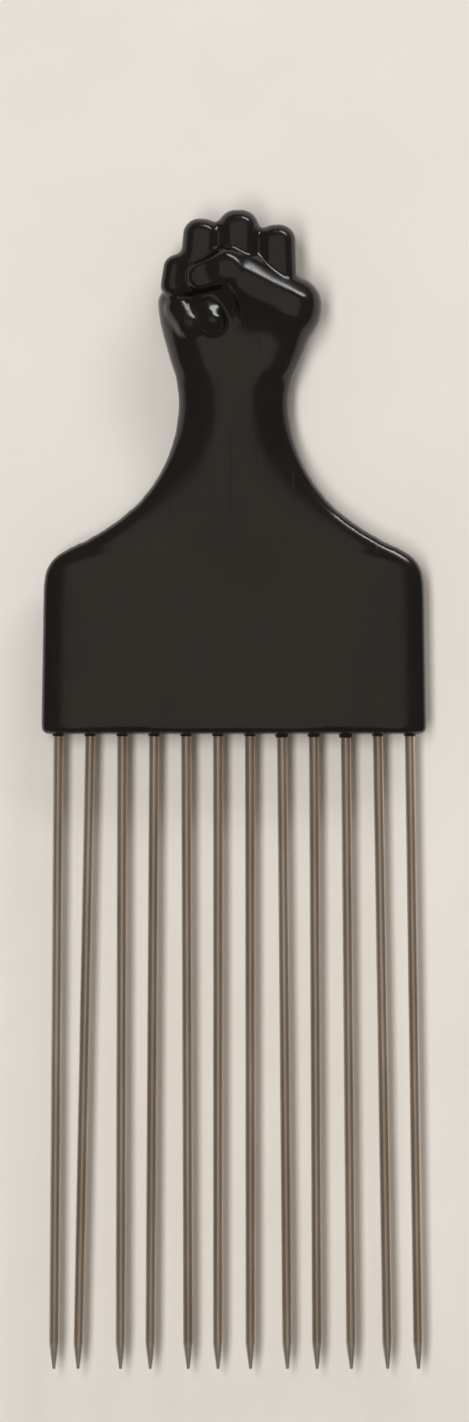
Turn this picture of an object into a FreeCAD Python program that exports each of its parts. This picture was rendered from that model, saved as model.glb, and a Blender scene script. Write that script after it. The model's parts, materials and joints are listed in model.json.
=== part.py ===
import FreeCAD, Part

# Afro pick: a raised-fist handle moulded in one piece round a row of long straight wire tines.
# X runs across the row, Y up the handle and Z out of the palm side, in millimetres. While the pieces
# are made, X = 0 is the middle of the row, Y = 0 the comb edge and Z = 0 the mould's parting plane.

import math
import os
from collections import namedtuple

from FreeCAD import Vector

# Tines: round drawn wire with a ground point, and a notch near the root that the plastic fills
TINE_PITCH = 6.35
TINE_DIAMETER = 2.0
TINE_REACH = 126.2
TINE_ROOT = 21.0
POINT_TAPER = 5.2
POINT_DIAMETER = 0.7
NOTCH_FROM_ROOT = 4.0
NOTCH_LENGTH = 5.0
NOTCH_DEPTH = 0.4
SOCKET_CLEARANCE = 0.05

# Lean of each tine off the row's direction, in degrees, plus towards +X
TINE_LEANS = (-0.4, -1.1, -0.15, -0.35, 0.2, 0.0, 0.05, 0.5, 0.3, 0.5, 0.9, 0.8)

# Plate that holds the tines
SIDE_MARGIN = 3.4
SIDE_DRAFT = 1.0
PLATE_THICKNESS = 8.0
RIM_WIDTH = 7.0
COMB_EDGE_RADIUS = 0.5
SHOULDER_HEIGHT = 34.7
SHOULDER_ANGLE = 24.4
SHOULDER_RUN = 5.4
CORNER_RADIUS = 7.4

# Neck, wrist and fist
NECK_WIDTH = 21.6
NECK_THICKNESS = 11.6
WRIST_LENGTH = 19.8
FIST_WIDTH = 31.4

# The hand is drawn in hundredths of the fist's width, from the palm's middle in the parting plane.
# Sections of its inner block at the palm and under the fingers, and the heights of the upper ones
HandSection = namedtuple("HandSection", "thumb_side little_side front back")
PALM = HandSection(50.5, 47.5, 19.7, 22.3)
BLOCK = HandSection(35.0, 28.5, 19.0, 19.5)
BlockHeights = namedtuple("BlockHeights", "narrowed top")
BLOCK_HEIGHTS = BlockHeights(20.0, 27.0)

# Fingers from the thumb side: place of the bent joint, lean in degrees with the foot towards the
# thumb, width, height of the folded end, and how far the front stands out
Finger = namedtuple("Finger", "axis top lean width foot front")
FINGERS = (
    Finger(26.6, 48.4, 2.0, 24.0, 7.0, 24.2),
    Finger(2.8, 58.0, 0.0, 26.0, 8.0, 25.6),
    Finger(-19.8, 52.0, -3.5, 23.5, 0.0, 24.6),
    Finger(-34.6, 29.0, -6.0, 18.5, -4.0, 21.8),
)

# Side view that the fingers share: the knuckle's place, the slope of front and back, the radii, and
# the share of a finger's width that rounds each of its sides
FingerForm = namedtuple("FingerForm", "back drop tuck sink bend_radius knuckle_radius foot_radius side_share")
FINGER_FORM = FingerForm(27.0, 6.0, 2.5, 8.0, 13.0, 13.0, 12.0, 0.42)

# Rods with round ends: the thumb laid over the fingers, the fingertips under it, and the palm's pads
Rod = namedtuple("Rod", "start start_radius end end_radius")
THUMB_BASE = Rod((39.0, -0.6, 13.6), 13.2, (-4.5, 20.4, 22.8), 11.0)
THUMB_TIP = Rod((-4.5, 20.4, 22.8), 10.7, (-21.0, 15.0, 21.0), 9.0)
RING_TIP = Rod((-17.8, 2.6, 15.0), 9.9, (-12.6, -10.4, 12.0), 9.0)
LITTLE_TIP = Rod((-35.6, 2.0, 12.2), 9.8, (-28.6, -14.0, 9.6), 9.0)
THUMB_PAD = Rod((14.0, -56.0, -1.0), 15.0, (33.5, -9.6, 5.6), 17.8)
HEEL_PAD = Rod((-13.0, -54.0, 1.0), 14.0, (-24.5, -9.0, 4.0), 15.5)

# Bones that show along the back of the hand, from each knuckle down to the wrist
BackBone = namedtuple("BackBone", "depth below_top radius length gather sink wrist_radius")
BACK_BONE = BackBone(15.2, 18.0, 10.0, 60.0, 0.6, 4.0, 8.0)

# Fineness of the skin over the sections, and of the joins
SECTION_POINTS = 24
SKIN_DEGREE = 3
RIM_SQUARENESS = 1.2
RIM_GROWTH = 0.75
FINE = 0.01
OVERCUT = 1.0
FULL_TURN = 360.0

# Sizes that follow from the ones above
TINE_COUNT = len(TINE_LEANS)
TINE_RADIUS = TINE_DIAMETER / 2
PLATE_HALF_WIDTH = (TINE_COUNT - 1) * TINE_PITCH / 2 + SIDE_MARGIN
NECK_HALF_WIDTH = NECK_WIDTH / 2
HAND_UNIT = FIST_WIDTH / 100

Outline = namedtuple("Outline", "corner corner_low corner_high flare flare_radius flare_low")


def plate_outline():
    """Arc centres and tangent points of the plate's right side: corner, sloping shoulder, neck flare."""
    draft = math.radians(SIDE_DRAFT)
    slope = math.radians(SHOULDER_ANGLE)
    side_normal = Vector(math.cos(draft), math.sin(draft), 0)
    shoulder_normal = Vector(math.sin(slope), math.cos(slope), 0)
    uphill = Vector(-math.cos(slope), math.sin(slope), 0)
    peak = Vector(PLATE_HALF_WIDTH - SHOULDER_HEIGHT * math.tan(draft), SHOULDER_HEIGHT, 0)
    inward = (side_normal + shoulder_normal) / (1 + side_normal.dot(shoulder_normal))
    corner = peak - inward * CORNER_RADIUS
    corner_low = corner + side_normal * CORNER_RADIUS
    corner_high = corner + shoulder_normal * CORNER_RADIUS
    flare_low = corner_high + uphill * SHOULDER_RUN
    flare_radius = (flare_low.x - NECK_HALF_WIDTH) / (1 - math.sin(slope))
    flare = flare_low + shoulder_normal * flare_radius
    return Outline(corner, corner_low, corner_high, flare, flare_radius, flare_low)


OUTLINE = plate_outline()
NECK_HEIGHT = OUTLINE.flare.y
PALM_HEIGHT = NECK_HEIGHT + WRIST_LENGTH
BLOCK_NARROWED = PALM_HEIGHT + BLOCK_HEIGHTS.narrowed * HAND_UNIT
BLOCK_TOP = PALM_HEIGHT + BLOCK_HEIGHTS.top * HAND_UNIT


def blend(low, high, start, end, y):
    """A smooth step from low to high while y goes from start to end."""
    share = min(max((y - start) / (end - start), 0.0), 1.0)
    return low + (high - low) * share * share * (3 - 2 * share)


def plate_half_width(y):
    """Half the handle's width at height y, up to the neck."""
    if y <= OUTLINE.corner_low.y:
        return PLATE_HALF_WIDTH - y * math.tan(math.radians(SIDE_DRAFT))
    if y <= OUTLINE.corner_high.y:
        return OUTLINE.corner.x + math.sqrt(CORNER_RADIUS ** 2 - (y - OUTLINE.corner.y) ** 2)
    if y <= OUTLINE.flare_low.y:
        climb = y - OUTLINE.corner_high.y
        return OUTLINE.corner_high.x - climb / math.tan(math.radians(SHOULDER_ANGLE))
    if y <= NECK_HEIGHT:
        return OUTLINE.flare.x - math.sqrt(OUTLINE.flare_radius ** 2 - (y - OUTLINE.flare.y) ** 2)
    return NECK_HALF_WIDTH


def side_width(palm_side, block_side, y):
    """Distance from the middle line to one side of the moulding at height y."""
    palm_width = palm_side * HAND_UNIT
    if y <= NECK_HEIGHT:
        return plate_half_width(y)
    if y <= PALM_HEIGHT:
        return blend(NECK_HALF_WIDTH, palm_width, NECK_HEIGHT, PALM_HEIGHT, y)
    return blend(palm_width, block_side * HAND_UNIT, PALM_HEIGHT, BLOCK_NARROWED, y)


def face_height(palm_face, block_face, y):
    """Distance from the parting plane to the front or the back of the moulding at height y."""
    palm_height = palm_face * HAND_UNIT
    if y <= NECK_HEIGHT:
        return blend(PLATE_THICKNESS / 2, NECK_THICKNESS / 2, OUTLINE.corner_low.y, NECK_HEIGHT, y)
    if y <= PALM_HEIGHT:
        return blend(NECK_THICKNESS / 2, palm_height, NECK_HEIGHT, PALM_HEIGHT, y)
    return blend(palm_height, block_face * HAND_UNIT, PALM_HEIGHT, BLOCK_TOP, y)


def section_power(y):
    """Superellipse power that gives the section at height y a rounded rim of the set width."""
    if y >= NECK_HEIGHT:
        return 2.0
    slope = (plate_half_width(y + FINE) - plate_half_width(y)) / FINE
    rim_across = RIM_WIDTH * math.hypot(1.0, slope)
    return max(2.0, RIM_SQUARENESS * (plate_half_width(y) / rim_across) ** RIM_GROWTH)


def section(y, inset=0.0):
    """Control points of the cross-section of plate, neck and hand at height y."""
    right = side_width(PALM.thumb_side, BLOCK.thumb_side, y) - inset
    left = side_width(PALM.little_side, BLOCK.little_side, y) - inset
    front = face_height(PALM.front, BLOCK.front, y) - inset
    back = face_height(PALM.back, BLOCK.back, y) - inset
    bulge = 2.0 / section_power(y)
    step = 2 * math.pi / SECTION_POINTS
    # A smooth skin passes inside its control points, so they stand out by what it falls short
    stand_out = 3.0 / (2.0 + math.cos(step) ** bulge)
    points = []
    for i in range(SECTION_POINTS):
        across = math.cos(i * step)
        out = math.sin(i * step)
        x = math.copysign(abs(across) ** bulge, across) * (right if across > 0 else left)
        z = math.copysign(abs(out) ** bulge, out) * (front if out > 0 else back)
        points.append(Vector(x * stand_out, y, z * stand_out))
    return points


def spread(low, high, spans):
    """Heights that divide low to high evenly, without the last."""
    return [low + (high - low) * i / spans for i in range(spans)]


def moulding():
    """Plate, neck and block of the hand as one smooth skin over the sections, closed by two flat ends."""
    heights = [0.0] + spread(COMB_EDGE_RADIUS, OUTLINE.corner_low.y, 2)
    heights += spread(OUTLINE.corner_low.y, OUTLINE.corner_high.y, 5)
    heights += spread(OUTLINE.corner_high.y, OUTLINE.flare_low.y, 2)
    heights += spread(OUTLINE.flare_low.y, NECK_HEIGHT, 6)
    heights += spread(NECK_HEIGHT, PALM_HEIGHT, 4)
    heights += spread(PALM_HEIGHT, BLOCK_TOP, 4)
    heights.append(BLOCK_TOP)
    # The first row lies in the comb edge's plane, so the skin turns into it with a small radius
    rows = [section(0.0, COMB_EDGE_RADIUS)] + [section(y) for y in heights]
    around = SECTION_POINTS + 1
    spans = len(rows) - SKIN_DEGREE
    end_knot = SKIN_DEGREE + 1
    skin = Part.BSplineSurface()
    skin.buildFromPolesMultsKnots(
        [list(column) for column in zip(*rows)],
        [1] * around,
        [end_knot] + [1] * (spans - 1) + [end_knot],
        list(range(around)),
        list(range(spans + 1)),
        True,
        False,
        SKIN_DEGREE,
        SKIN_DEGREE,
    )
    side = skin.toShape()
    ends = [Part.Face(Part.Wire(edge)) for edge in side.Edges if edge.BoundBox.YLength < FINE]
    body = Part.Solid(Part.Shell([side] + ends))
    body.fix(FINE, FINE, FINE)
    return body


def hand_point(place):
    """A place of the hand's drawing in the part's own frame."""
    return Vector(*place) * HAND_UNIT + Vector(0, PALM_HEIGHT, 0)


def rounded_outline(corners):
    """Flat face with straight sides, from its corners and the radius that rounds each of them."""
    points = [point for point, _ in corners]
    joins = []
    for i, (point, radius) in enumerate(corners):
        back = (points[i - 1] - point).normalize()
        onward = (points[(i + 1) % len(points)] - point).normalize()
        half_angle = back.getAngle(onward) / 2
        inward = (back + onward).normalize()
        run = radius / math.tan(half_angle)
        top = point + inward * (radius / math.sin(half_angle) - radius)
        joins.append((point + back * run, top, point + onward * run))
    edges = []
    for join, following in zip(joins, joins[1:] + joins[:1]):
        edges.append(Part.Arc(*join).toShape())
        edges.append(Part.LineSegment(join[2], following[0]).toShape())
    return Part.Face(Part.Wire(edges))


def folded_finger(finger):
    """A finger bent over its knuckle: its side view drawn out to its width, with the sides rounded."""
    form = FINGER_FORM
    length = finger.top - finger.foot
    side = -finger.width / 2
    corners = (
        (Vector(side, -length, finger.front - form.tuck), form.foot_radius),
        (Vector(side, 0, finger.front), form.bend_radius),
        (Vector(side, -form.drop, -form.back), form.knuckle_radius),
        (Vector(side, -length, form.sink - form.back), form.foot_radius),
    )
    sized = [(point * HAND_UNIT, radius * HAND_UNIT) for point, radius in corners]
    block = rounded_outline(sized).extrude(Vector(finger.width * HAND_UNIT, 0, 0))
    rims = [edge for edge in block.Edges if edge.BoundBox.XLength < FINE]
    block = block.makeFillet(form.side_share * finger.width * HAND_UNIT, rims)
    place = hand_point((finger.axis, finger.top, 0))
    block.Placement = FreeCAD.Placement(place, FreeCAD.Rotation(Vector(0, 0, 1), finger.lean))
    return block


def rod(start, start_radius, end, end_radius):
    """Tapered rod with round ends."""
    along = end - start
    length = along.Length
    lean = math.asin((start_radius - end_radius) / length)
    tilt = Vector(math.sin(lean), math.cos(lean), 0)
    start_side = tilt * start_radius
    end_side = Vector(length, 0, 0) + tilt * end_radius
    start_middle = Vector(-math.cos((math.pi / 2 - lean) / 2), math.sin((math.pi / 2 - lean) / 2), 0)
    end_middle = Vector(math.cos((math.pi / 2 - lean) / 2), math.sin((math.pi / 2 - lean) / 2), 0)
    tail = Vector(-start_radius, 0, 0)
    nose = Vector(length + end_radius, 0, 0)
    edges = [
        Part.Arc(tail, start_middle * start_radius, start_side).toShape(),
        Part.LineSegment(start_side, end_side).toShape(),
        Part.Arc(end_side, Vector(length, 0, 0) + end_middle * end_radius, nose).toShape(),
        Part.LineSegment(nose, tail).toShape(),
    ]
    solid = Part.Face(Part.Wire(edges)).revolve(Vector(0, 0, 0), Vector(1, 0, 0), FULL_TURN)
    solid.Placement = FreeCAD.Placement(start, FreeCAD.Rotation(Vector(1, 0, 0), along))
    return solid


def hand_rod(form):
    """A rod of the hand's drawing."""
    start_radius = form.start_radius * HAND_UNIT
    end_radius = form.end_radius * HAND_UNIT
    return rod(hand_point(form.start), start_radius, hand_point(form.end), end_radius)


def back_bone(finger):
    """The bone that shows along the back of the hand, from the finger's knuckle to the wrist."""
    form = BACK_BONE
    knuckle = finger.top - form.below_top
    # Towards the sides the bones lie less deep, as the back of the hand is round
    depth = form.depth * math.sqrt(1 - (finger.axis / PALM.thumb_side) ** 2)
    start = (finger.axis, knuckle, -depth)
    end = (finger.axis * form.gather, knuckle - form.length, form.sink - depth)
    return hand_rod(Rod(start, form.radius, end, form.wrist_radius))


def fist_forms():
    """Everything that is joined onto the block of the hand."""
    forms = [folded_finger(finger) for finger in FINGERS]
    forms += [back_bone(finger) for finger in FINGERS]
    forms += [hand_rod(form) for form in (THUMB_PAD, HEEL_PAD, RING_TIP, LITTLE_TIP, THUMB_BASE, THUMB_TIP)]
    return forms


def wire(points):
    """Round solid about the tine's own axis, from the half-section that these corners enclose."""
    edges = [Part.LineSegment(a, b).toShape() for a, b in zip(points, points[1:] + points[:1])]
    return Part.Face(Part.Wire(edges)).revolve(Vector(0, 0, 0), Vector(0, 1, 0), FULL_TURN)


def notch(clearance):
    """Block that cuts the anchoring notch into the front of a root, less a clearance on each face."""
    floor = TINE_RADIUS - NOTCH_DEPTH + clearance
    length = NOTCH_LENGTH - 2 * clearance
    low = TINE_ROOT - NOTCH_FROM_ROOT - NOTCH_LENGTH + clearance
    corner = Vector(-TINE_DIAMETER, low, floor)
    return Part.makeBox(2 * TINE_DIAMETER, length, TINE_DIAMETER, corner)


def straight_tine():
    """One tine before it is leant: notched root, long shank, tapered blunt point."""
    taper_start = POINT_TAPER - TINE_REACH
    half_section = [
        Vector(0, TINE_ROOT, 0),
        Vector(TINE_RADIUS, TINE_ROOT, 0),
        Vector(TINE_RADIUS, taper_start, 0),
        Vector(POINT_DIAMETER / 2, -TINE_REACH, 0),
        Vector(0, -TINE_REACH, 0),
    ]
    return wire(half_section).cut(notch(0.0))


def straight_socket():
    """The hole that a tine leaves in the plastic, open at the comb edge, with the key in its notch."""
    radius = TINE_RADIUS + SOCKET_CLEARANCE
    depth = TINE_ROOT + SOCKET_CLEARANCE
    half_section = [
        Vector(0, depth, 0),
        Vector(radius, depth, 0),
        Vector(radius, -OVERCUT, 0),
        Vector(0, -OVERCUT, 0),
    ]
    return wire(half_section).cut(notch(SOCKET_CLEARANCE))


def along_row(shape):
    """A copy of the shape at each place in the row, leant as that tine leans."""
    copies = []
    for i, lean in enumerate(TINE_LEANS):
        place = Vector((i - (TINE_COUNT - 1) / 2) * TINE_PITCH, 0, 0)
        copy = shape.copy()
        copy.Placement = FreeCAD.Placement(place, FreeCAD.Rotation(Vector(0, 0, 1), lean))
        copies.append(copy)
    return copies


def handle():
    """The whole moulding: plate, neck and fist in one solid, with the tines' sockets."""
    body = moulding()
    for form in fist_forms():
        body = body.fuse(form)
    body = body.removeSplitter().cut(along_row(straight_socket()))
    return body.Solids[0]


def main():
    pieces = {"handle": handle()}
    for i, tine in enumerate(along_row(straight_tine())):
        pieces[f"tine_{i + 1:02d}"] = tine
    whole = Part.makeCompound(list(pieces.values())).optimalBoundingBox(False, False)
    ground = Vector(-whole.Center.x, -whole.Center.y, -whole.ZMin)
    os.makedirs("parts", exist_ok=True)
    for name, shape in pieces.items():
        shape.translate(ground)
        shape.exportStep(f"parts/{name}.step")
        print(name, shape.isValid(), len(shape.Solids), round(shape.Volume, 2))
    print("moved by", ground, "box", whole)


main()
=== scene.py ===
"""Looks of the afro pick: a glossy black moulded fist handle and twelve plated wire tines on a pale table."""

import json
import math
from collections import namedtuple

import bpy
import numpy as np
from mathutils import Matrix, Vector

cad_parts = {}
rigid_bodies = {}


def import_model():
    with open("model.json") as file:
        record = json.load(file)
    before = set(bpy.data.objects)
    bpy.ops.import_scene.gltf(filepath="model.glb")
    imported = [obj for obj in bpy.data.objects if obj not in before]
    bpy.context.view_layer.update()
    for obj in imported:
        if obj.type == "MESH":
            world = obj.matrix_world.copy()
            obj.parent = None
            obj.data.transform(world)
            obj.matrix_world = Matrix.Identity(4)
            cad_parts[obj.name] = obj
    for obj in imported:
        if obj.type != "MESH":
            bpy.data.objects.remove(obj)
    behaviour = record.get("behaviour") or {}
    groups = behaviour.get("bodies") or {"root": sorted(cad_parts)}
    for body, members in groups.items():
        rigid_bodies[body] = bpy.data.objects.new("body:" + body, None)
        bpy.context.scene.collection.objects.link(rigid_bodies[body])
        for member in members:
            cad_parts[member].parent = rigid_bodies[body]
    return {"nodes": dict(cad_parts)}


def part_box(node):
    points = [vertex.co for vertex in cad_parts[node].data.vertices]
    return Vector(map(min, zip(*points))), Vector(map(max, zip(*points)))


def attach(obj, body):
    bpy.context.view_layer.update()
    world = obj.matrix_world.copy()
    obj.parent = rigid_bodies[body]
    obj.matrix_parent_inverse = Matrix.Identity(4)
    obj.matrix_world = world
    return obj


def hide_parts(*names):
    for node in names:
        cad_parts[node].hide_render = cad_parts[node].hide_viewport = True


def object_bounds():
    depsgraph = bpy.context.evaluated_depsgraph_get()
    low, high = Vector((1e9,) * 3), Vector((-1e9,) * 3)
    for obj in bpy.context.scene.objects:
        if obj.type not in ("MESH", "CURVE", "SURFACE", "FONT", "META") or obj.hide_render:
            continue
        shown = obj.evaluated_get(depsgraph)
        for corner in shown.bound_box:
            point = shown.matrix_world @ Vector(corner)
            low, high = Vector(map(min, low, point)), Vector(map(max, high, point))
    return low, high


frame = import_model()
cad_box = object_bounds()

MM = 0.001

# Places read from the frame
HANDLE_LOW, HANDLE_HIGH = (Vector(corner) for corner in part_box("handle"))
TINE_NAMES = sorted(name for name in frame["nodes"] if name.startswith("tine_"))
COMB_EDGE = HANDLE_LOW.y
PARTING_HEIGHT = sum(corner[2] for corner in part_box(TINE_NAMES[0])) / 2

# Sockets to close, with room to spare, and the band of faces that belongs to the comb edge itself
SOCKET_REACH = 23 * MM
SOCKET_RADIUS = 1.5 * MM
SIDE_CLEARANCE = 1.7 * MM
EDGE_BAND = 0.005 * MM

# Mesh of the handle: how it is merged, its cells, finer on the fist, and how it is softened and unfolded
MERGE_DISTANCE = 0.001 * MM
SKIN_CELL = 0.74 * MM
FIST_CUTS = 2
SOFTENING = 0.5
SOFTENING_ROUNDS = 4
RELAXING_ROUNDS = 10
UNFOLDING_ROUNDS = 16
FOLD_ANGLE = math.radians(60)
HANDLE_SMOOTH_ANGLE = math.radians(50)

# Rim of plate and neck: its rounding, how softly it meets the CAD skin, and where up the hand it fades
RIM_POWER = 4.0
RIM_REACH = HANDLE_HIGH.x
RIM_SOFTNESS = 0.16
PLATE_END_LOW = -185.0
PLATE_END_HIGH = -140.0
RIM_FADE_LOW = -115.0
RIM_FADE_HIGH = -70.0
CENTRE_BAND = 1.0 * MM

# Fist: drawn in hundredths of its width from the palm's middle; up the wrist the CAD skin fades into it
FIST_WIDTH = 31.4 * MM
HAND_UNIT = FIST_WIDTH / 100
PALM_BELOW_TOP = 58.0
PALM_MIDDLE = Vector((0, HANDLE_HIGH.y - PALM_BELOW_TOP * HAND_UNIT, PARTING_HEIGHT))
WRIST_LOW = -56.0
WRIST_HIGH = -36.0
SCULPT_ROUNDS = 6
PROBE_STEP = 0.05

# Sections of wrist, palm and the block under the fingers
HandSection = namedtuple("HandSection", "height thumb_side little_side front back")
NECK = HandSection(-63.0, 34.4, 34.4, 18.5, 18.5)
PALM = HandSection(0.0, 50.5, 47.5, 19.7, 22.3)
BLOCK = HandSection(27.0, 35.0, 28.5, 19.0, 19.5)

# Folded fingers from index to little finger, with a lean in degrees
Finger = namedtuple("Finger", "axis top lean width foot front")
FINGERS = (
    Finger(26.6, 48.4, 2.0, 24.0, 2.0, 24.2),
    Finger(2.8, 57.7, 0.0, 26.0, 2.0, 25.6),
    Finger(-19.4, 52.0, -5.5, 23.5, 2.0, 24.6),
    Finger(-34.0, 29.0, -9.0, 18.5, 2.0, 21.8),
)
FINGER_ROUNDING = 0.44
FINGER_PARING = 0.7

# Backs of the fingers: their depth, the roundness of their row, and their slope from below the knuckle
FINGER_BACK = -24.7
BACK_ROUNDNESS = 70.0
KNUCKLE_DROP = 6.0
BACK_SLOPE = 0.2

# Thumb, fingertips and the pads of the palm
Rod = namedtuple("Rod", "start start_radius end end_radius")
THUMB_BASE = Rod((39.0, -0.6, 13.6), 13.2, (-4.5, 20.4, 22.2), 11.0)
THUMB_TIP = Rod((-4.5, 20.4, 22.4), 10.7, (-21.0, 15.0, 22.2), 9.6)
RING_TIP = Rod((-16.6, -4.6, 15.0), 8.8, (-13.1, -13.2, 19.0), 8.2)
LITTLE_TIP = Rod((-34.8, -4.0, 12.6), 8.0, (-28.4, -15.4, 17.4), 7.4)
PADS = (
    Rod((14.0, -56.0, -1.0), 15.0, (33.5, -9.6, 5.6), 17.8),
    Rod((-13.0, -54.0, 1.0), 14.0, (-24.5, -9.0, 4.0), 15.5),
    Rod((21.0, -42.0, 0.0), 10.0, (11.0, -2.0, 9.5), 15.0),
    Rod((-27.0, -34.0, 3.0), 9.0, (-36.0, 2.0, 6.0), 8.0),
)

# Bones that show along the back of the hand, from each knuckle down to the wrist
BackBone = namedtuple("BackBone", "depth below_top radius length gather sink wrist_radius")
BACK_BONE = BackBone(13.6, 18.0, 10.0, 60.0, 0.6, 4.0, 8.0)

# Flats by the way they face and how deep they cut: three on the thumb, and the ring finger's nail
Facet = namedtuple("Facet", "normal depth")
BASE_FRONT = Facet((0.067, -0.187, 0.980), 1.6)
BASE_LEDGE = Facet((0.345, 0.415, 0.842), 1.0)
TIP_FRONT = Facet((-0.01, -0.02, 1.0), 2.7)
RING_NAIL = Facet((0.20, 0.46, 0.866), 0.45)
FACET_EDGE = 1.6

# Creases of palm, thumb joint and thumbnail: points across and up the palm, half width and depth
Crease = namedtuple("Crease", "path width depth")
CREASES = (
    Crease(((-4.0, 8.5), (-0.5, 1.5), (1.0, -5.0), (4.5, -12.0)), 2.6, 1.0),
    Crease(((-6.4, 26.0), (-4.6, 20.0), (-6.0, 14.0)), 2.0, 0.35),
    Crease(((-25.0, 18.8), (-13.0, 22.4), (-10.8, 18.6), (-14.0, 14.8), (-26.0, 10.8)), 1.5, 0.32),
)

# How far the forms flow into each other where they meet
PAD_FLOW = 8.0
THUMB_FLOW = 18.0
FINGER_FLOW = 6.0
BONE_FLOW = 4.0
JOINT_FLOW = 6.0
TIP_FLOW = 3.5
CREASE_FLOW = 1.4

# Values that only keep a division away from zero
LEAST_SOFTNESS = 1e-9
LEAST_SLOPE = 1e-6

# Tines: round wire with a ground point, each step of it a share of its length and how much it narrows
ROUND_SIDES = 40
TINE_RADIUS = 1.0 * MM
POINT_LENGTH = 5.2 * MM
POINT_STEPS = ((0.12, 0.97), (0.38, 0.72), (0.38, 0.56), (0.12, 0.9))
POINT_BEVEL = 0.12 * MM
BEVEL_SEGMENTS = 3
TINE_SMOOTH_ANGLE = math.radians(40)

# Ends of wires and collars, told by their place and by the way they face
END_BAND = 0.05 * MM
END_FACING = -0.99

# Collars that the plastic forms round the tines at the comb edge, and the tines with more flash
COLLAR_RADIUS = 1.34 * MM
COLLAR_HEIGHT = 0.5 * MM
COLLAR_SUNK = 0.25 * MM
COLLAR_TAPER = 0.86
COLLAR_BEVEL = 0.14 * MM
COLLAR_FLASH = {"tine_08": 1.5, "tine_09": 1.3, "tine_10": 1.6}
FLASH_WIDENING = 0.25

# Fine bead along the mould's parting plane
BEAD_RADIUS = 0.06 * MM

# Patterns of the finishes: features to a metre, fineness, and stretch along each axis
Grain = namedtuple("Grain", "scale detail stretch")
ALL_WAYS = (1, 1, 1)
NOISE_SPAN = (0.3, 0.7)
WHOLE = (0, 1)

# Black plastic: two shades, the roughness of gloss and scuffs, and the orange-peel skin
PLASTIC_SHADES = ((0.0062, 0.0050, 0.0040, 1), (0.0090, 0.0074, 0.0058, 1))
PLASTIC_CLOUDS = Grain(55, 3.0, ALL_WAYS)
PLASTIC_GLOSS = Grain(140, 5.0, ALL_WAYS)
GLOSS_ROUGHNESS = (0.13, 0.23)
PLASTIC_SCUFFS = Grain(900, 2.0, (1, 0.04, 1))
SCUFF_SPAN = (0.62, 0.74)
SCUFF_ROUGHNESS = (0, 0.16)
PLASTIC_PEEL = Grain(1100, 1.0, ALL_WAYS)
PEEL_STRENGTH = 0.12
PEEL_DEPTH = 0.02 * MM

# Plated wire: clean and tarnished shades, the lighter shade of the ground point, partly bare metal and partly
# painted highlight, and where it begins, and drawing streaks
WIRE_SHADES = ((0.74, 0.65, 0.56, 1), (0.55, 0.465, 0.38, 1))
WIRE_TARNISH = Grain(260, 4.0, (1, 0.12, 1))
GROUND_AND_HIGHLIGHT_SHADE = (0.74, 0.69, 0.63, 1)
GROUND_FROM = -0.6 * MM
GROUND_TO = 0.4 * MM
WIRE_STREAKS = Grain(5200, 3.0, (1, 0.012, 1))
STREAK_ROUGHNESS = (0.34, 0.48)
STREAK_STRENGTH = 0.25
STREAK_DEPTH = 0.01 * MM

# Pale floor
FLOOR_SIZE = 6
FLOOR_SHADES = ((0.82, 0.775, 0.72, 1), (0.85, 0.81, 0.755, 1))
FLOOR_MOTTLE = Grain(30, 4.0, ALL_WAYS)
FLOOR_ROUGHNESS = 0.8

# Sockets of a colour mix, by their numbers
MIX_SHARE, MIX_FIRST, MIX_SECOND, MIX_RESULT = 0, 6, 7, 2

# Soft lamps and the dim surround; the key isn't mirrored in the gloss
Softbox = namedtuple("Softbox", "name direction distance size power colour mirrored")
SOFTBOXES = (
    Softbox("key", (-0.18, 0.0, 1.0), 1.8, (1.2, 0.30), 19.5, (1, 1, 1), False),
    Softbox("ceiling", (0.0, 0.05, 1.0), 2.0, (1.6, 1.6), 3.4, (1.0, 0.84, 0.68), True),
    Softbox("window", (0.40, 0.90, 0.57), 1.3, (0.7, 0.25), 5.5, (1, 1, 1), True),
)
SURROUND_COLOUR = (1.0, 0.95, 0.9, 1)
SURROUND_STRENGTH = 0.15

# Camera straight above, with the photograph's frame
IMAGE_HEIGHT = 1422
MM_PER_PIXEL = 0.19875
VIEW_CENTRE = (0.1 * MM, 15.7 * MM)
CAMERA_DISTANCE = 1.2
CAMERA_CLIP = 0.01
FILM_HEIGHT = 36.0


# Tools of the bench

def pick_only(*objects):
    """Leaves only these objects selected, the first one active."""
    bpy.ops.object.select_all(action="DESELECT")
    for obj in objects:
        obj.select_set(True)
    bpy.context.view_layer.objects.active = objects[0]


def copy_of(obj):
    """A copy of an object with its own mesh, selected alone."""
    pick_only(obj)
    bpy.ops.object.duplicate()
    return bpy.context.object


def apply_modifier(obj, kind, **settings):
    """Adds a modifier, sets it and applies it to the mesh."""
    pick_only(obj)
    modifier = obj.modifiers.new(kind.lower(), kind)
    for name, value in settings.items():
        setattr(modifier, name, value)
    bpy.ops.object.modifier_apply(modifier=modifier.name)


def place_in_mesh(obj):
    """Moves an object's place, turn and size into its mesh."""
    pick_only(obj)
    bpy.ops.object.transform_apply(location=True, rotation=True, scale=True)


def select_faces(obj, wanted):
    """Selects the faces that pass the test, and leaves the object in edit mode."""
    pick_only(obj)
    bpy.ops.object.mode_set(mode="EDIT")
    bpy.ops.mesh.select_mode(type="FACE")
    bpy.ops.mesh.select_all(action="DESELECT")
    bpy.ops.object.mode_set(mode="OBJECT")
    for face in obj.data.polygons:
        face.select = wanted(face)
    bpy.ops.object.mode_set(mode="EDIT")


def faces_the_tip(face):
    """Whether a face closes the end of a bar towards the tips of the tines."""
    return face.normal.y < END_FACING


def round_bar(radius, start, end):
    """A cylinder along Y from one place to another."""
    bpy.ops.object.select_all(action="DESELECT")
    bpy.ops.mesh.primitive_cylinder_add(
        vertices=ROUND_SIDES, radius=radius, depth=start - end, location=(0, (start + end) / 2, 0),
        rotation=(math.pi / 2, 0, 0))
    bar = bpy.context.object
    place_in_mesh(bar)
    return bar


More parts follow.
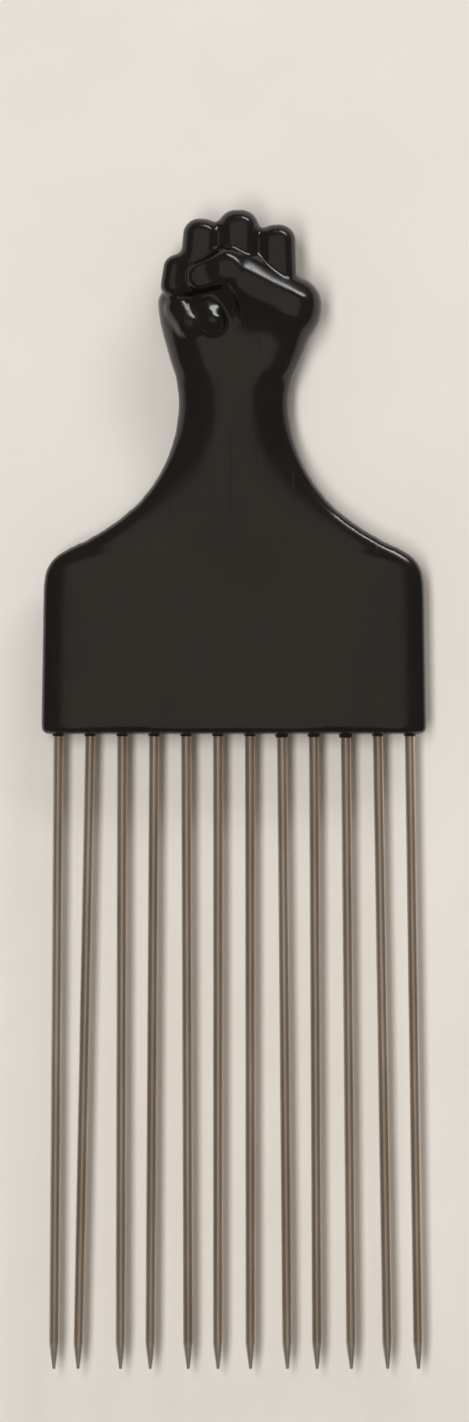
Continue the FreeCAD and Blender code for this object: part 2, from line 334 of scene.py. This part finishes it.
def finish_piece(piece, material, node):
    """Gives a piece its finish and its body, and hides the node that it stands for."""
    piece.data.materials.clear()
    piece.data.materials.append(material)
    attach(piece, "root")
    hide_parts(node)


def read_places(mesh):
    """The mesh's vertices as rows of numbers."""
    places = np.empty(len(mesh.vertices) * 3)
    mesh.vertices.foreach_get("co", places)
    return places.reshape(-1, 3)


def write_places(mesh, places):
    """Moves the mesh's vertices to these places."""
    mesh.vertices.foreach_set("co", places.ravel())
    mesh.update()


# Distances that the rim and the fist are drawn with

def smooth_step(low, high, values):
    """Rises from 0 to 1 while the values go from low to high."""
    share = np.clip((values - low) / (high - low), 0, 1)
    return share * share * (3 - 2 * share)


def flow(first, second, reach):
    """The lesser of two distances, with a fillet where they meet: joins two forms."""
    closeness = np.maximum(reach - np.abs(first - second), 0) / reach
    return np.minimum(first, second) - closeness * closeness * reach / 4


def pare(first, second, reach):
    """The greater of two distances, rounded where they meet: cuts one form by another."""
    return -flow(-first, -second, reach)


def path_gap(flat, segments):
    """Distance of flat points from the nearest of the segments."""
    nearest = np.full(len(flat), np.inf)
    for start, end in segments:
        along = np.array(end) - start
        share = np.clip((flat - start) @ along / (along @ along), 0, 1)
        nearest = np.minimum(nearest, np.linalg.norm(flat - start - share[:, None] * along, axis=1))
    return nearest


def rod_gap(points, rod, *facets):
    """Distance of the points from a tapered rod with round ends, and flats pared off it."""
    start = np.array(rod.start)
    along = np.array(rod.end) - start
    share = np.clip((points - start) @ along / (along @ along), 0, 1)
    offset = points - start - share[:, None] * along
    radius = rod.start_radius + share * (rod.end_radius - rod.start_radius)
    gap = np.linalg.norm(offset, axis=1) - radius
    for facet in facets:
        above = offset @ np.array(facet.normal) - radius + facet.depth
        gap = pare(gap, above, FACET_EDGE)
    return gap


def finger_gap(points, finger):
    """Distance from a folded finger: a leaning rounded block, pared in front and sloping behind."""
    lean = math.radians(finger.lean)
    across = (points[:, 0] - finger.axis) * math.cos(lean) + (points[:, 1] - finger.top) * math.sin(lean)
    up = (points[:, 1] - finger.top) * math.cos(lean) - (points[:, 0] - finger.axis) * math.sin(lean)
    rounding = FINGER_ROUNDING * finger.width
    half_length = (finger.top - finger.foot) / 2
    back = FINGER_BACK * math.sqrt(1 - (finger.axis / BACK_ROUNDNESS) ** 2)
    half_depth = (finger.front + FINGER_PARING - back) / 2
    beyond = np.stack((
        np.abs(across) - finger.width / 2 + rounding,
        np.abs(up + half_length) - half_length + rounding,
        np.abs(points[:, 2] - back - half_depth) - half_depth + rounding), axis=1)
    outside = np.linalg.norm(np.maximum(beyond, 0), axis=1)
    block = outside + np.minimum(beyond.max(axis=1), 0) - rounding
    behind = back - BACK_SLOPE * (up + KNUCKLE_DROP) - points[:, 2]
    pared = pare(block, points[:, 2] - finger.front, FACET_EDGE)
    return pare(pared, behind, FACET_EDGE)


def palm_gap(points):
    """Distance from the round section of wrist, palm and block."""
    x, y, z = points.T
    to_palm = smooth_step(NECK.height, PALM.height, y)
    to_block = smooth_step(PALM.height, BLOCK.height, y)

    def grown(side):
        neck, palm, block = (getattr(section, side) for section in (NECK, PALM, BLOCK))
        return neck + (palm - neck) * to_palm + (block - palm) * to_block

    width = np.where(x > 0, grown("thumb_side"), grown("little_side"))
    depth = np.where(z > 0, grown("front"), grown("back"))
    reach = np.hypot(x / width, z / depth)
    slope = np.hypot(x / width ** 2, z / depth ** 2)
    around = reach * (reach - 1) / np.maximum(slope, LEAST_SLOPE)
    return np.maximum(around, y - BLOCK.height)


def back_bone(finger):
    """The rod along the back of the hand for a finger; towards the sides it lies less deep."""
    form = BACK_BONE
    knuckle = finger.top - form.below_top
    depth = form.depth * math.sqrt(1 - (finger.axis / PALM.thumb_side) ** 2)
    start = (finger.axis, knuckle, -depth)
    end = (finger.axis * form.gather, knuckle - form.length, form.sink - depth)
    return Rod(start, form.radius, end, form.wrist_radius)


def fist_gap(points):
    """Distance from the whole fist."""
    palm = palm_gap(points)
    for pad in PADS:
        palm = flow(palm, rod_gap(points, pad), PAD_FLOW)
    for finger in FINGERS:
        palm = flow(palm, rod_gap(points, back_bone(finger)), BONE_FLOW)
    base = rod_gap(points, THUMB_BASE, BASE_FRONT, BASE_LEDGE)
    palm = flow(palm, base, THUMB_FLOW)
    tips = flow(rod_gap(points, RING_TIP, RING_NAIL), rod_gap(points, LITTLE_TIP), TIP_FLOW)
    palm = flow(palm, tips, TIP_FLOW)
    fingers = finger_gap(points, FINGERS[0])
    for finger in FINGERS[1:]:
        fingers = flow(fingers, finger_gap(points, finger), FINGER_FLOW)
    fist = flow(palm, fingers, CREASE_FLOW)
    thumb = flow(base, rod_gap(points, THUMB_TIP, TIP_FRONT), JOINT_FLOW)
    return flow(fist, thumb, CREASE_FLOW)


def crease_depth(points, crease):
    """How deep a crease is pressed in at each point of the front."""
    nearest = path_gap(points[:, :2], zip(crease.path, crease.path[1:]))
    return crease.depth * np.exp(-(nearest / crease.width) ** 2) * (points[:, 2] > 0)


# Handle

def copy_of_node(name, piece_name):
    """A merged copy of a CAD node's mesh, as a new object."""
    mesh = frame["nodes"][name].data.copy()
    piece = bpy.data.objects.new(piece_name, mesh)
    bpy.context.scene.collection.objects.link(piece)
    pick_only(piece)
    bpy.ops.object.mode_set(mode="EDIT")
    bpy.ops.mesh.select_all(action="SELECT")
    bpy.ops.mesh.remove_doubles(threshold=MERGE_DISTANCE)
    bpy.ops.object.mode_set(mode="OBJECT")
    return piece


def close_sockets(piece):
    """Takes the sockets' inner walls away and closes their mouths in the comb edge."""
    row_end = HANDLE_HIGH.x - SIDE_CLEARANCE

    def in_a_socket(face):
        in_reach = EDGE_BAND < face.center.y - COMB_EDGE < SOCKET_REACH
        near_parting = abs(face.center.z - PARTING_HEIGHT) < SOCKET_RADIUS
        return in_reach and near_parting and abs(face.center.x) < row_end

    select_faces(piece, in_a_socket)
    bpy.ops.mesh.delete(type="FACE")
    bpy.ops.mesh.select_mode(type="EDGE")
    bpy.ops.mesh.select_all(action="SELECT")
    bpy.ops.mesh.fill_holes(sides=0)
    bpy.ops.object.mode_set(mode="OBJECT")


def even_skin(piece):
    """Gives the handle an even mesh, finer on the fist, that lies on the CAD surface."""
    form = piece.copy()
    form.data = piece.data.copy()
    bpy.context.scene.collection.objects.link(form)
    apply_modifier(piece, "REMESH", mode="VOXEL", voxel_size=SKIN_CELL)
    fist_from = PALM_MIDDLE.y + WRIST_LOW * HAND_UNIT
    select_faces(piece, lambda face: face.center.y > fist_from)
    bpy.ops.mesh.subdivide(number_cuts=FIST_CUTS)
    bpy.ops.object.mode_set(mode="OBJECT")
    apply_modifier(piece, "SHRINKWRAP", target=form, wrap_method="NEAREST_SURFACEPOINT")
    bpy.data.objects.remove(form)
    apply_modifier(piece, "SMOOTH", factor=SOFTENING, iterations=SOFTENING_ROUNDS)


def parting_outline(piece):
    """The handle's outline in the parting plane, as a new object with edges alone."""
    outline = copy_of(piece)
    bpy.ops.object.mode_set(mode="EDIT")
    bpy.ops.mesh.select_all(action="SELECT")
    bpy.ops.mesh.bisect(plane_co=PALM_MIDDLE, plane_no=(0, 0, 1), clear_inner=True, clear_outer=True)
    bpy.ops.object.mode_set(mode="OBJECT")
    return outline


def outline_segments(piece):
    """The parting outline's edges, each as the two flat points that it joins."""
    outline = parting_outline(piece)
    corners = [np.array(vertex.co[:2]) for vertex in outline.data.vertices]
    segments = [[corners[number] for number in edge.vertices] for edge in outline.data.edges]
    bpy.data.objects.remove(outline)
    return segments


def rim_height(points, full, segments):
    """How high the rim's rounding stands at each point, by its distance from the outline."""
    inward = np.clip(1 - path_gap(points[:, :2], segments) / RIM_REACH, 0, 1)
    return full * (1 - inward ** RIM_POWER) ** (1 / RIM_POWER)


def even_rim(piece):
    """Gives plate and neck one rounding all along their outline."""
    segments = outline_segments(piece)
    past_edge = COMB_EDGE + CENTRE_BAND
    sides = [ends for ends in segments if max(point[1] for point in ends) > past_edge]
    places = read_places(piece.data)
    up_the_hand = (places[:, 1] - PALM_MIDDLE.y) / HAND_UNIT
    chosen = up_the_hand < RIM_FADE_HIGH
    up_the_hand = up_the_hand[chosen]
    points = places[chosen]
    height = points[:, 2] - PARTING_HEIGHT

    in_the_middle = np.abs(points[:, 0]) < CENTRE_BAND
    centre = points[in_the_middle & (height > 0) & (points[:, 1] > past_edge)]
    centre = centre[np.argsort(centre[:, 1])]
    full = np.interp(points[:, 1], centre[:, 1], centre[:, 2] - PARTING_HEIGHT)

    # The skin is raised to the rounding, and on the plate also lowered to it, but for the comb edge
    rim = rim_height(points, full, segments)
    softness = np.maximum(RIM_SOFTNESS * rim, LEAST_SOFTNESS)
    raised = pare(np.abs(height), rim, softness)
    lowered = np.minimum(raised, rim_height(points, full, sides))
    evened = lowered + (raised - lowered) * smooth_step(PLATE_END_LOW, PLATE_END_HIGH, up_the_hand)
    share = 1 - smooth_step(RIM_FADE_LOW, RIM_FADE_HIGH, up_the_hand)
    places[chosen, 2] += np.sign(height) * (evened - np.abs(height)) * share
    write_places(piece.data, places)


def sculpt_fist(piece):
    """Draws the skin of wrist and hand onto the fist's flowing form."""
    middle = np.array(PALM_MIDDLE)
    hand = (read_places(piece.data) - middle) / HAND_UNIT
    chosen = hand[:, 1] > WRIST_LOW
    points = hand[chosen]
    share = smooth_step(WRIST_LOW, WRIST_HIGH, points[:, 1])[:, None]
    moved = points.copy()
    probes = np.eye(3) * PROBE_STEP
    for _ in range(SCULPT_ROUNDS):
        gap = fist_gap(moved) + sum(crease_depth(moved, crease) for crease in CREASES)
        slope = np.stack([fist_gap(moved + probe) - fist_gap(moved - probe) for probe in probes], axis=1)
        slope /= np.maximum(np.linalg.norm(slope, axis=1, keepdims=True), PROBE_STEP)
        moved -= slope * gap[:, None]
    hand[chosen] = points + (moved - points) * share
    write_places(piece.data, hand * HAND_UNIT + middle)


def relax_fist(piece):
    """Evens out the fist's mesh between two rounds of sculpting."""
    hand_from = PALM_MIDDLE.y + WRIST_HIGH * HAND_UNIT
    fist = piece.vertex_groups.new(name="fist")
    fist.add([vertex.index for vertex in piece.data.vertices if vertex.co.y > hand_from], 1, "REPLACE")
    apply_modifier(piece, "SMOOTH", factor=SOFTENING, iterations=RELAXING_ROUNDS, vertex_group=fist.name)
    piece.vertex_groups.clear()


def unfold_creases(piece):
    """Smooths the faces that lie folded over each other at the bottom of the creases."""
    pick_only(piece)
    bpy.ops.object.mode_set(mode="EDIT")
    bpy.ops.mesh.select_mode(type="EDGE")
    for _ in range(UNFOLDING_ROUNDS):
        bpy.ops.mesh.select_all(action="DESELECT")
        bpy.ops.mesh.edges_select_sharp(sharpness=FOLD_ANGLE)
        bpy.ops.mesh.select_more()
        bpy.ops.mesh.select_more()
        bpy.ops.mesh.vertices_smooth(factor=SOFTENING, repeat=SOFTENING_ROUNDS)
    bpy.ops.object.mode_set(mode="OBJECT")


def parting_bead(piece):
    """The fine bead that the mould's parting plane leaves all round the handle."""
    pick_only(parting_outline(piece))
    bpy.ops.object.convert(target="CURVE")
    bead = bpy.context.object
    bead.data.bevel_depth = BEAD_RADIUS
    bead.data.bevel_resolution = 0
    bpy.ops.object.convert(target="MESH")
    return bpy.context.object


def tine_collars():
    """A low tapered collar of plastic round each tine, where it leaves the comb edge."""
    pattern = round_bar(COLLAR_RADIUS, COLLAR_SUNK, -COLLAR_HEIGHT)
    select_faces(pattern, faces_the_tip)
    bpy.ops.transform.resize(value=(COLLAR_TAPER, 1, COLLAR_TAPER), center_override=(0, -COLLAR_HEIGHT, 0))
    bpy.ops.mesh.bevel(offset=COLLAR_BEVEL, segments=BEVEL_SEGMENTS, affect="EDGES")
    bpy.ops.object.mode_set(mode="OBJECT")
    collars = []
    for name in TINE_NAMES:
        root, tip = tine_line(name)
        share = (root.y - COMB_EDGE) / (root.y - tip.y)
        collar = copy_of(pattern)
        growth = COLLAR_FLASH.get(name, 1)
        widening = 1 + (growth - 1) * FLASH_WIDENING
        collar.scale = (widening, growth, widening)
        collar.location = root.lerp(tip, share)
        place_in_mesh(collar)
        collars.append(collar)
    bpy.data.objects.remove(pattern)
    return collars


def moulded_handle(material):
    """The handle: plate, neck and fist in one black moulding."""
    piece = copy_of_node("handle", "moulded_handle")
    close_sockets(piece)
    even_skin(piece)
    even_rim(piece)
    sculpt_fist(piece)
    relax_fist(piece)
    sculpt_fist(piece)
    apply_modifier(piece, "SMOOTH", factor=SOFTENING, iterations=SOFTENING_ROUNDS)
    unfold_creases(piece)
    pick_only(piece, parting_bead(piece), *tine_collars())
    bpy.ops.object.join()
    bpy.ops.object.shade_smooth_by_angle(angle=HANDLE_SMOOTH_ANGLE)
    finish_piece(piece, material, "handle")


# Tines

def tine_line(name):
    """The middles of a tine's root and tip, from its node's end faces."""
    points = [vertex.co for vertex in frame["nodes"][name].data.vertices]
    low = min(point.y for point in points)
    high = max(point.y for point in points)
    tip_ring = [point for point in points if point.y < low + END_BAND]
    root_ring = [point for point in points if point.y > high - END_BAND]
    return sum(root_ring, Vector()) / len(root_ring), sum(tip_ring, Vector()) / len(tip_ring)


def straight_tine(length):
    """One tine along -Y from its root at the origin: a wire with a ground, slightly rounded point."""
    reached = POINT_LENGTH - length
    tine = round_bar(TINE_RADIUS, 0, reached)
    select_faces(tine, faces_the_tip)
    for share, ratio in POINT_STEPS:
        step = -share * POINT_LENGTH
        reached += step
        bpy.ops.mesh.extrude_region_move(TRANSFORM_OT_translate={"value": (0, step, 0)})
        bpy.ops.transform.resize(value=(ratio, 1, ratio), center_override=(0, reached, 0))
    bpy.ops.mesh.bevel(offset=POINT_BEVEL, segments=BEVEL_SEGMENTS, affect="EDGES")
    bpy.ops.object.mode_set(mode="OBJECT")
    return tine


def wire_tines(material):
    """The row of tines, each a copy of one tine, turned and moved onto its own node's line."""
    root, tip = tine_line(TINE_NAMES[0])
    pattern = straight_tine((tip - root).length)
    for name in TINE_NAMES:
        root, tip = tine_line(name)
        tine = copy_of(pattern)
        tine.name = name.replace("tine", "wire_tine")
        tine.rotation_euler = Vector((0, -1, 0)).rotation_difference(tip - root).to_euler()
        tine.location = root
        place_in_mesh(tine)
        bpy.ops.object.shade_smooth_by_angle(angle=TINE_SMOOTH_ANGLE)
        finish_piece(tine, material, name)
    bpy.data.objects.remove(pattern)


# Finishes

def feed(material, socket, value):
    """Joins a socket to another node's output, or sets it to a plain value."""
    if isinstance(value, bpy.types.NodeSocket):
        material.node_tree.links.new(value, socket)
    else:
        socket.default_value = value


def add_node(material, kind, settings=None, **inputs):
    """Adds a shader node with its settings, and feeds its inputs."""
    node = material.node_tree.nodes.new(kind)
    for name, value in (settings or {}).items():
        setattr(node, name, value)
    for name, value in inputs.items():
        feed(material, node.inputs[name.replace("_", " ")], value)
    return node


def new_material(name):
    """A material with its shader, and the place on the piece that its patterns read."""
    material = bpy.data.materials.new(name)
    material.use_nodes = True
    shader = material.node_tree.nodes["Principled BSDF"]
    place = add_node(material, "ShaderNodeTexCoord").outputs["Object"]
    return material, shader, place


def noise(material, place, grain):
    """A noise pattern of a given grain."""
    stretched = add_node(material, "ShaderNodeMapping", Vector=place, Scale=grain.stretch)
    pattern = add_node(
        material, "ShaderNodeTexNoise", Vector=stretched.outputs["Vector"], Scale=grain.scale,
        Detail=grain.detail)
    return pattern.outputs["Fac"]


def span(material, value, target, source=NOISE_SPAN):
    """Brings a pattern from its own range to the range of a shader's setting."""
    fitted = add_node(
        material, "ShaderNodeMapRange", From_Min=source[0], From_Max=source[1], To_Min=target[0],
        To_Max=target[1], Value=value)
    return fitted.outputs["Result"]


def tint(material, share, first, second):
    """Mixes two colours by a pattern; a colour may itself come from a pattern."""
    mix = add_node(material, "ShaderNodeMix", {"data_type": "RGBA"})
    feed(material, mix.inputs[MIX_SHARE], share)
    feed(material, mix.inputs[MIX_FIRST], first)
    feed(material, mix.inputs[MIX_SECOND], second)
    return mix.outputs[MIX_RESULT]


def emboss(material, shader, pattern, strength, depth):
    """Gives the shader a fine relief from a pattern."""
    bump = add_node(material, "ShaderNodeBump", Strength=strength, Distance=depth, Height=pattern)
    feed(material, shader.inputs["Normal"], bump.outputs["Normal"])


def gloss_black():
    """Black moulded plastic: uneven gloss, a faint orange-peel skin and fine scuffs from handling."""
    material, shader, place = new_material("gloss_black_plastic")
    clouds = span(material, noise(material, place, PLASTIC_CLOUDS), WHOLE)
    feed(material, shader.inputs["Base Color"], tint(material, clouds, *PLASTIC_SHADES))
    gloss = span(material, noise(material, place, PLASTIC_GLOSS), GLOSS_ROUGHNESS)
    scuffs = span(material, noise(material, place, PLASTIC_SCUFFS), SCUFF_ROUGHNESS, SCUFF_SPAN)
    roughness = add_node(material, "ShaderNodeMath", {"operation": "ADD"})
    feed(material, roughness.inputs[0], gloss)
    feed(material, roughness.inputs[1], scuffs)
    feed(material, shader.inputs["Roughness"], roughness.outputs["Value"])
    emboss(material, shader, noise(material, place, PLASTIC_PEEL), PEEL_STRENGTH, PEEL_DEPTH)
    return material


def plated_wire():
    """Drawn steel wire, dull plated: streaks along the wire, tarnish, and ground points of a lighter shade
    that is partly bare ground metal and partly painted highlight.
    """
    material, shader, place = new_material("plated_wire")
    tarnish = span(material, noise(material, place, WIRE_TARNISH), WHOLE)
    worn = tint(material, tarnish, *WIRE_SHADES)
    along = add_node(material, "ShaderNodeSeparateXYZ", Vector=place).outputs["Y"]
    point_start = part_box(TINE_NAMES[0])[0][1] + POINT_LENGTH
    ground = span(material, along, (1, 0), (point_start + GROUND_FROM, point_start + GROUND_TO))
    # The ground points' lighter shade: partly bare ground metal, partly a painted highlight at the tips.
    feed(material, shader.inputs["Base Color"], tint(material, ground, worn, GROUND_AND_HIGHLIGHT_SHADE))
    shader.inputs["Metallic"].default_value = 1
    streaks = noise(material, place, WIRE_STREAKS)
    feed(material, shader.inputs["Roughness"], span(material, streaks, STREAK_ROUGHNESS))
    emboss(material, shader, streaks, STREAK_STRENGTH, STREAK_DEPTH)
    return material


# Stage

def table_top():
    """The pale floor under the pick."""
    bpy.ops.object.select_all(action="DESELECT")
    bpy.ops.mesh.primitive_plane_add(size=FLOOR_SIZE, location=(0, 0, cad_box[0][2]))
    floor = bpy.context.object
    floor.name = "table_top"
    material, shader, place = new_material("pale_card")
    mottle = span(material, noise(material, place, FLOOR_MOTTLE), WHOLE)
    feed(material, shader.inputs["Base Color"], tint(material, mottle, *FLOOR_SHADES))
    shader.inputs["Roughness"].default_value = FLOOR_ROUGHNESS
    floor.data.materials.append(material)


def soft_lamp(softbox):
    """A rectangular area lamp that stands off in a direction and faces the pick."""
    lamp = bpy.data.lights.new(softbox.name, "AREA")
    lamp.shape = "RECTANGLE"
    lamp.size, lamp.size_y = softbox.size
    lamp.energy = softbox.power
    lamp.color = softbox.colour
    holder = bpy.data.objects.new(softbox.name, lamp)
    bpy.context.scene.collection.objects.link(holder)
    away = Vector(softbox.direction).normalized()
    holder.location = away * softbox.distance
    holder.rotation_euler = away.to_track_quat("Z", "Y").to_euler()
    holder.visible_glossy = softbox.mirrored


def dim_surround():
    """The faint warm light from all round."""
    world = bpy.data.worlds.new("studio")
    bpy.context.scene.world = world
    world.use_nodes = True
    surround = world.node_tree.nodes["Background"]
    surround.inputs["Color"].default_value = SURROUND_COLOUR
    surround.inputs["Strength"].default_value = SURROUND_STRENGTH


def camera_above():
    """The camera, looking straight down on the pick."""
    camera = bpy.data.cameras.new("camera")
    camera.sensor_width = FILM_HEIGHT
    camera.lens = FILM_HEIGHT * CAMERA_DISTANCE / (IMAGE_HEIGHT * MM_PER_PIXEL * MM)
    camera.clip_start = CAMERA_CLIP
    holder = bpy.data.objects.new("camera", camera)
    bpy.context.scene.collection.objects.link(holder)
    holder.location = (*VIEW_CENTRE, PARTING_HEIGHT + CAMERA_DISTANCE)
    bpy.context.scene.camera = holder


moulded_handle(gloss_black())
wire_tines(plated_wire())
table_top()
dim_surround()
for lamp_box in SOFTBOXES:
    soft_lamp(lamp_box)
camera_above()
bpy.context.scene.view_settings.view_transform = "Standard"
